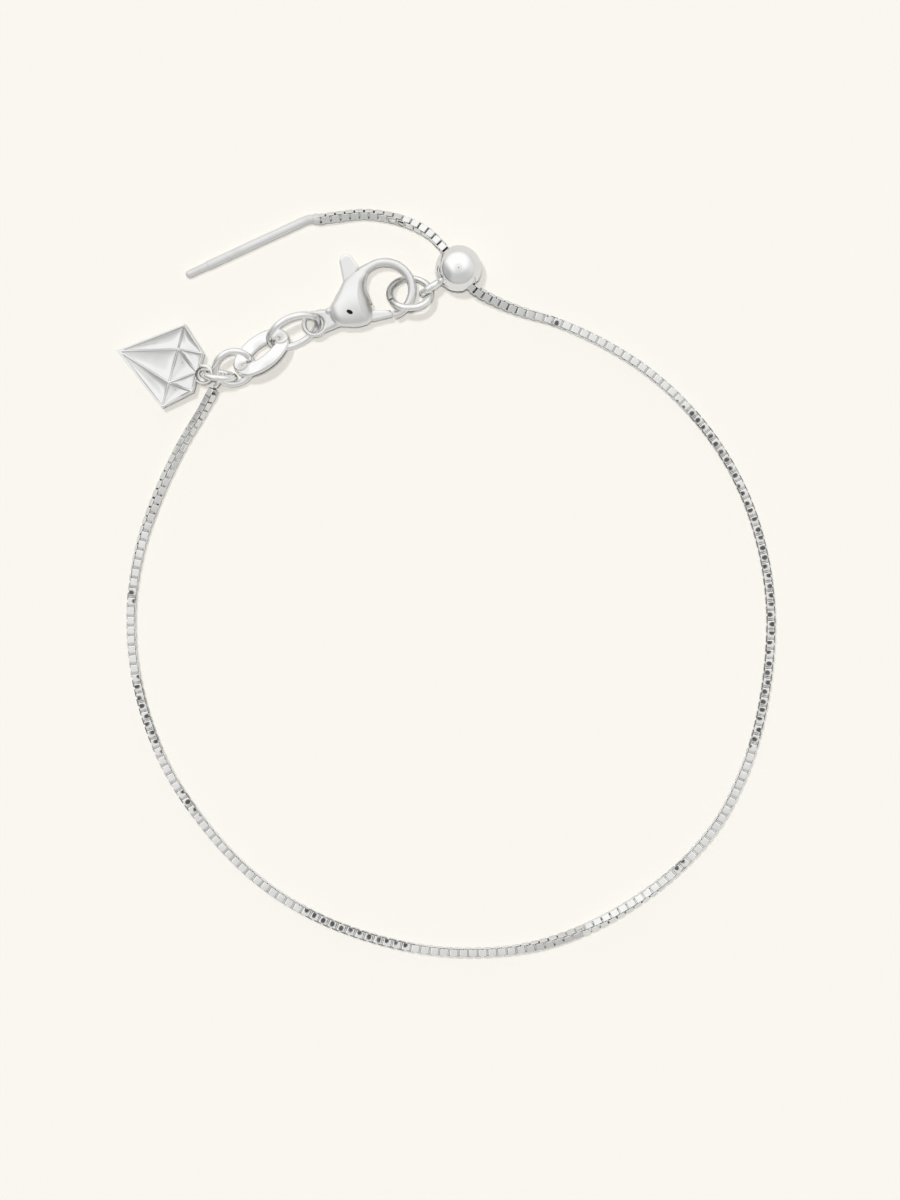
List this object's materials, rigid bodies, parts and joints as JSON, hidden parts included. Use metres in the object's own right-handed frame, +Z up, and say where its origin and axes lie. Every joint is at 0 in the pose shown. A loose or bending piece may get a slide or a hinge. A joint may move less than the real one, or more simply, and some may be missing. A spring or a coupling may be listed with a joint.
{
  "type": "slider bracelet",
  "caption": "Slider bracelet of box chain with a threading needle, slider ball, lobster claw clasp, oval links and a diamond-shaped charm.",
  "frame": {"origin": "on the table, under the middle of the whole bracelet's bounding box", "axes": "+Z up from the table, +Y from the bottom of the loop toward the clasp and ball, +X to the right"},
  "size_m": [0.0658, 0.0748, 0.0046],
  "materials": {
    "chain_silver": "bright rhodium-plated silver box chain",
    "polished_silver": "polished rhodium-plated silver",
    "clasp_silver": "tumbled and plated cast silver",
    "charm_silver": "cast silver with raised lines",
    "pin_steel": "small steel pin"
  },
  "bodies": {
    "bracelet": {"box_chain": "chain_silver", "needle": "polished_silver", "slider_ball": "polished_silver", "hook_ring": "polished_silver", "claw_body": "clasp_silver", "claw_pin": "pin_steel", "oval_link": "polished_silver", "wide_link": "polished_silver", "hub_ring": "polished_silver", "charm_ring": "polished_silver", "charm": "charm_silver", "chain_end_loop": "polished_silver"},
    "lever": {"claw_lever": "clasp_silver"}
  },
  "joints": [
    {"name": "claw_lever_pivot", "type": "hinge", "parent": "bracelet", "child": "lever", "pos_m": [-0.00969, 0.02698, 0.0015], "axis": [0, 0, 1], "range_deg": [0, 14], "stiffness_Nm_per_rad": 0.002, "springref_deg": -11.46}
  ]
}
